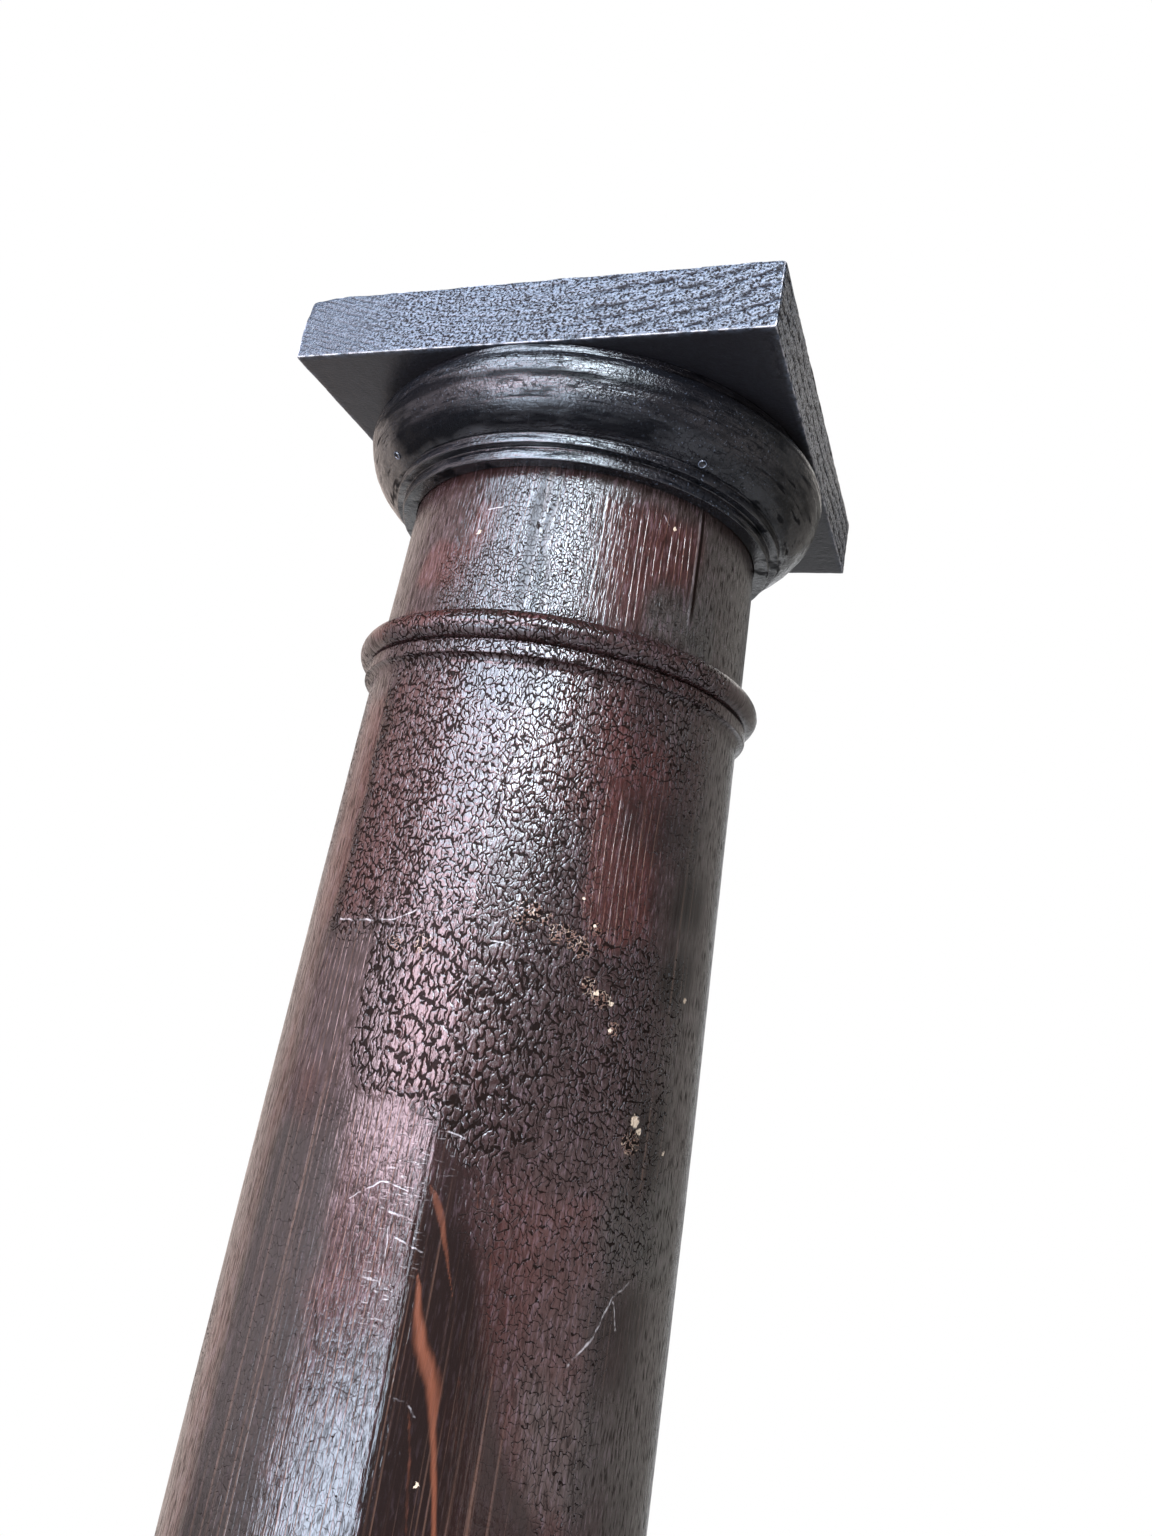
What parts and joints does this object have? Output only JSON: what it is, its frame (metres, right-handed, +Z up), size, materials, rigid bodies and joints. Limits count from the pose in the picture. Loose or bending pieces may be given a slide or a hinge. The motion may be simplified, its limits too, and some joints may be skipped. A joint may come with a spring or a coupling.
{
  "type": "round wooden column",
  "caption": "Round tapered wooden column of glued staves with a square top board, a turned capital ring and astragal, and a plain ring and square plinth as its base.",
  "frame": {"origin": "middle of the underside of the plinth, on the axis of the column", "axes": "+Z up along the column, -Y the front face of the square boards, +X to the right of that front"},
  "size_m": [0.27, 0.27, 1.83],
  "materials": {
    "abacus": "dark varnish worn to raised grey grain",
    "capital_ring": "near black crazed varnish, glossy",
    "stave": "dark red brown varnish, crazed and glossy",
    "base_ring": "dark brown varnish, glossy",
    "plinth": "dark brown varnish, worn"
  },
  "bodies": {
    "root": {"abacus": "abacus", "capital_ring": "capital_ring", "stave_1": "stave", "stave_2": "stave", "stave_3": "stave", "stave_4": "stave", "stave_5": "stave", "stave_6": "stave", "stave_7": "stave", "stave_8": "stave", "base_ring": "base_ring", "plinth": "plinth"}
  },
  "joints": []
}
